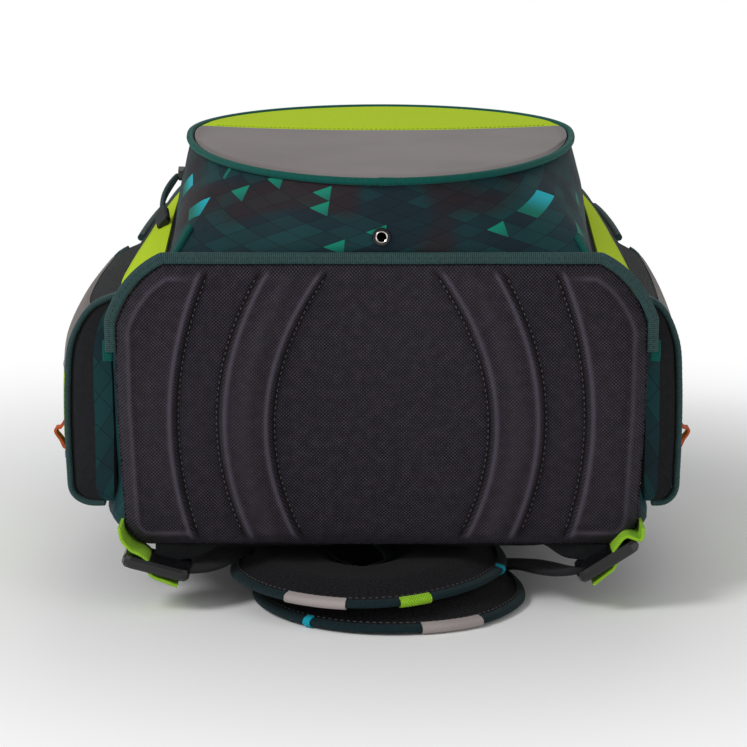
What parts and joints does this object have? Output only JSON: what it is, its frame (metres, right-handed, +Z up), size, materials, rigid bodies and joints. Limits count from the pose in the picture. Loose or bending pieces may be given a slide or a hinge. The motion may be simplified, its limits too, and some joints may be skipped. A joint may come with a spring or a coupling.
{
  "type": "school ransel",
  "caption": "School ransel lying on its back, with a quilted base pad, a domed front pocket, side pockets, crossed padded straps and a lid.",
  "frame": {"origin": "under the middle of the whole bag, on the surface that it lies on", "axes": "+X across the bag, +Y from its base to its top, +Z up, out of its front"},
  "size_m": [0.3522, 0.4566, 0.2482],
  "materials": {
    "base_textile": "matte",
    "body_textile": "matte",
    "printed_textile": "satin",
    "grosgrain": "matte",
    "teal_piping": "satin",
    "lime_textile": "matte",
    "lime_webbing": "matte",
    "reflective_textile": "satin",
    "spacer_mesh": "matte",
    "black_webbing": "matte",
    "zip_tape": "matte",
    "orange_tab": "matte",
    "pull_rubber": "matte",
    "black_plastic": "satin",
    "eyelet_metal": "polished",
    "slider_metal": "polished"
  },
  "bodies": {
    "root": {"base_pad": "base_textile", "base_binding": "grosgrain", "body_shell": "body_textile", "corner_panel_left": "lime_textile", "corner_panel_right": "lime_textile", "front_pocket_gusset": "printed_textile", "front_pocket_panel_lower": "reflective_textile", "front_pocket_panel_upper": "lime_textile", "front_pocket_piping": "teal_piping", "drain_eyelet": "eyelet_metal", "front_zip_tape": "zip_tape", "zip_slider": "slider_metal", "zip_pull": "pull_rubber", "side_pocket_left": "body_textile", "side_pocket_right": "body_textile", "side_pocket_binding_left": "grosgrain", "side_pocket_binding_right": "grosgrain", "side_panel_left": "lime_textile", "side_panel_right": "lime_textile", "side_reflector_left": "reflective_textile", "side_reflector_right": "reflective_textile", "side_label_left": "orange_tab", "side_label_right": "orange_tab", "back_pad_left": "spacer_mesh", "back_pad_right": "spacer_mesh", "shoulder_strap_left": "spacer_mesh", "shoulder_strap_right": "spacer_mesh", "strap_reflector_left": "reflective_textile", "strap_reflector_right": "reflective_textile", "strap_tab_left": "lime_textile", "adjuster_web_left": "black_webbing", "adjuster_web_right": "black_webbing", "lower_web_left": "lime_webbing", "lower_web_right": "lime_webbing", "ladder_lock_left": "black_plastic", "ladder_lock_right": "black_plastic", "lid": "printed_textile", "lid_clasp": "black_plastic", "top_handle": "black_webbing"}
  },
  "joints": []
}
